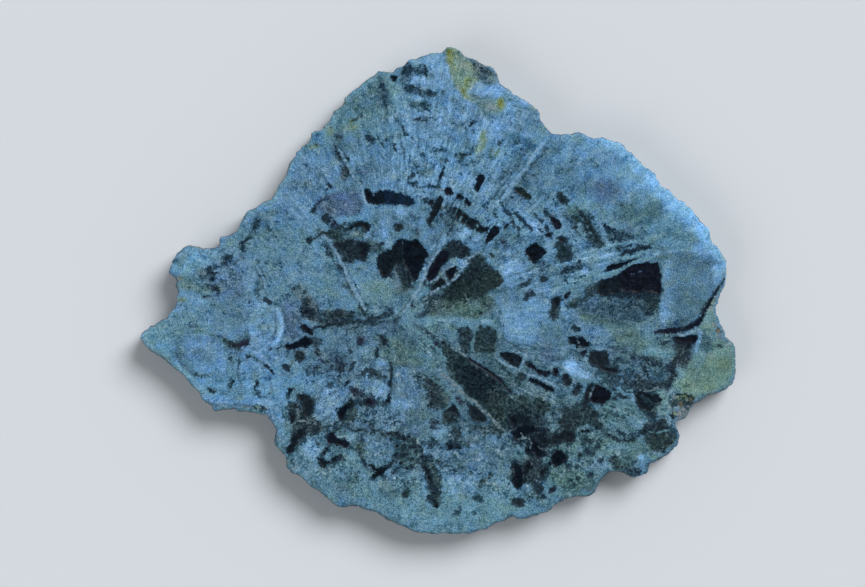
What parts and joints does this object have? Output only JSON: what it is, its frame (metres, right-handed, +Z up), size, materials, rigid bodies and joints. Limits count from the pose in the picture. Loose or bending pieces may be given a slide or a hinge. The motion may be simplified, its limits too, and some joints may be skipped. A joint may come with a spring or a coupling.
{
  "type": "petrified wood slice",
  "caption": "Flat irregular slab of agatised fossil wood, sawn across the log, with growth rings, rays, dark chert cells and a natural rind rim; a display specimen that lies flat.",
  "frame": {"origin": "centre of the slab's footprint, on the sawn back that it rests on", "axes": "+Z up out of the show face, +X towards the rind's green corner (the longer way across), +Y towards the pointed top lobe"},
  "size_m": [0.25, 0.2042, 0.015],
  "materials": {
    "agatised_wood": "satin"
  },
  "bodies": {
    "root": {"petrified_wood_slice": "agatised_wood"}
  },
  "joints": []
}
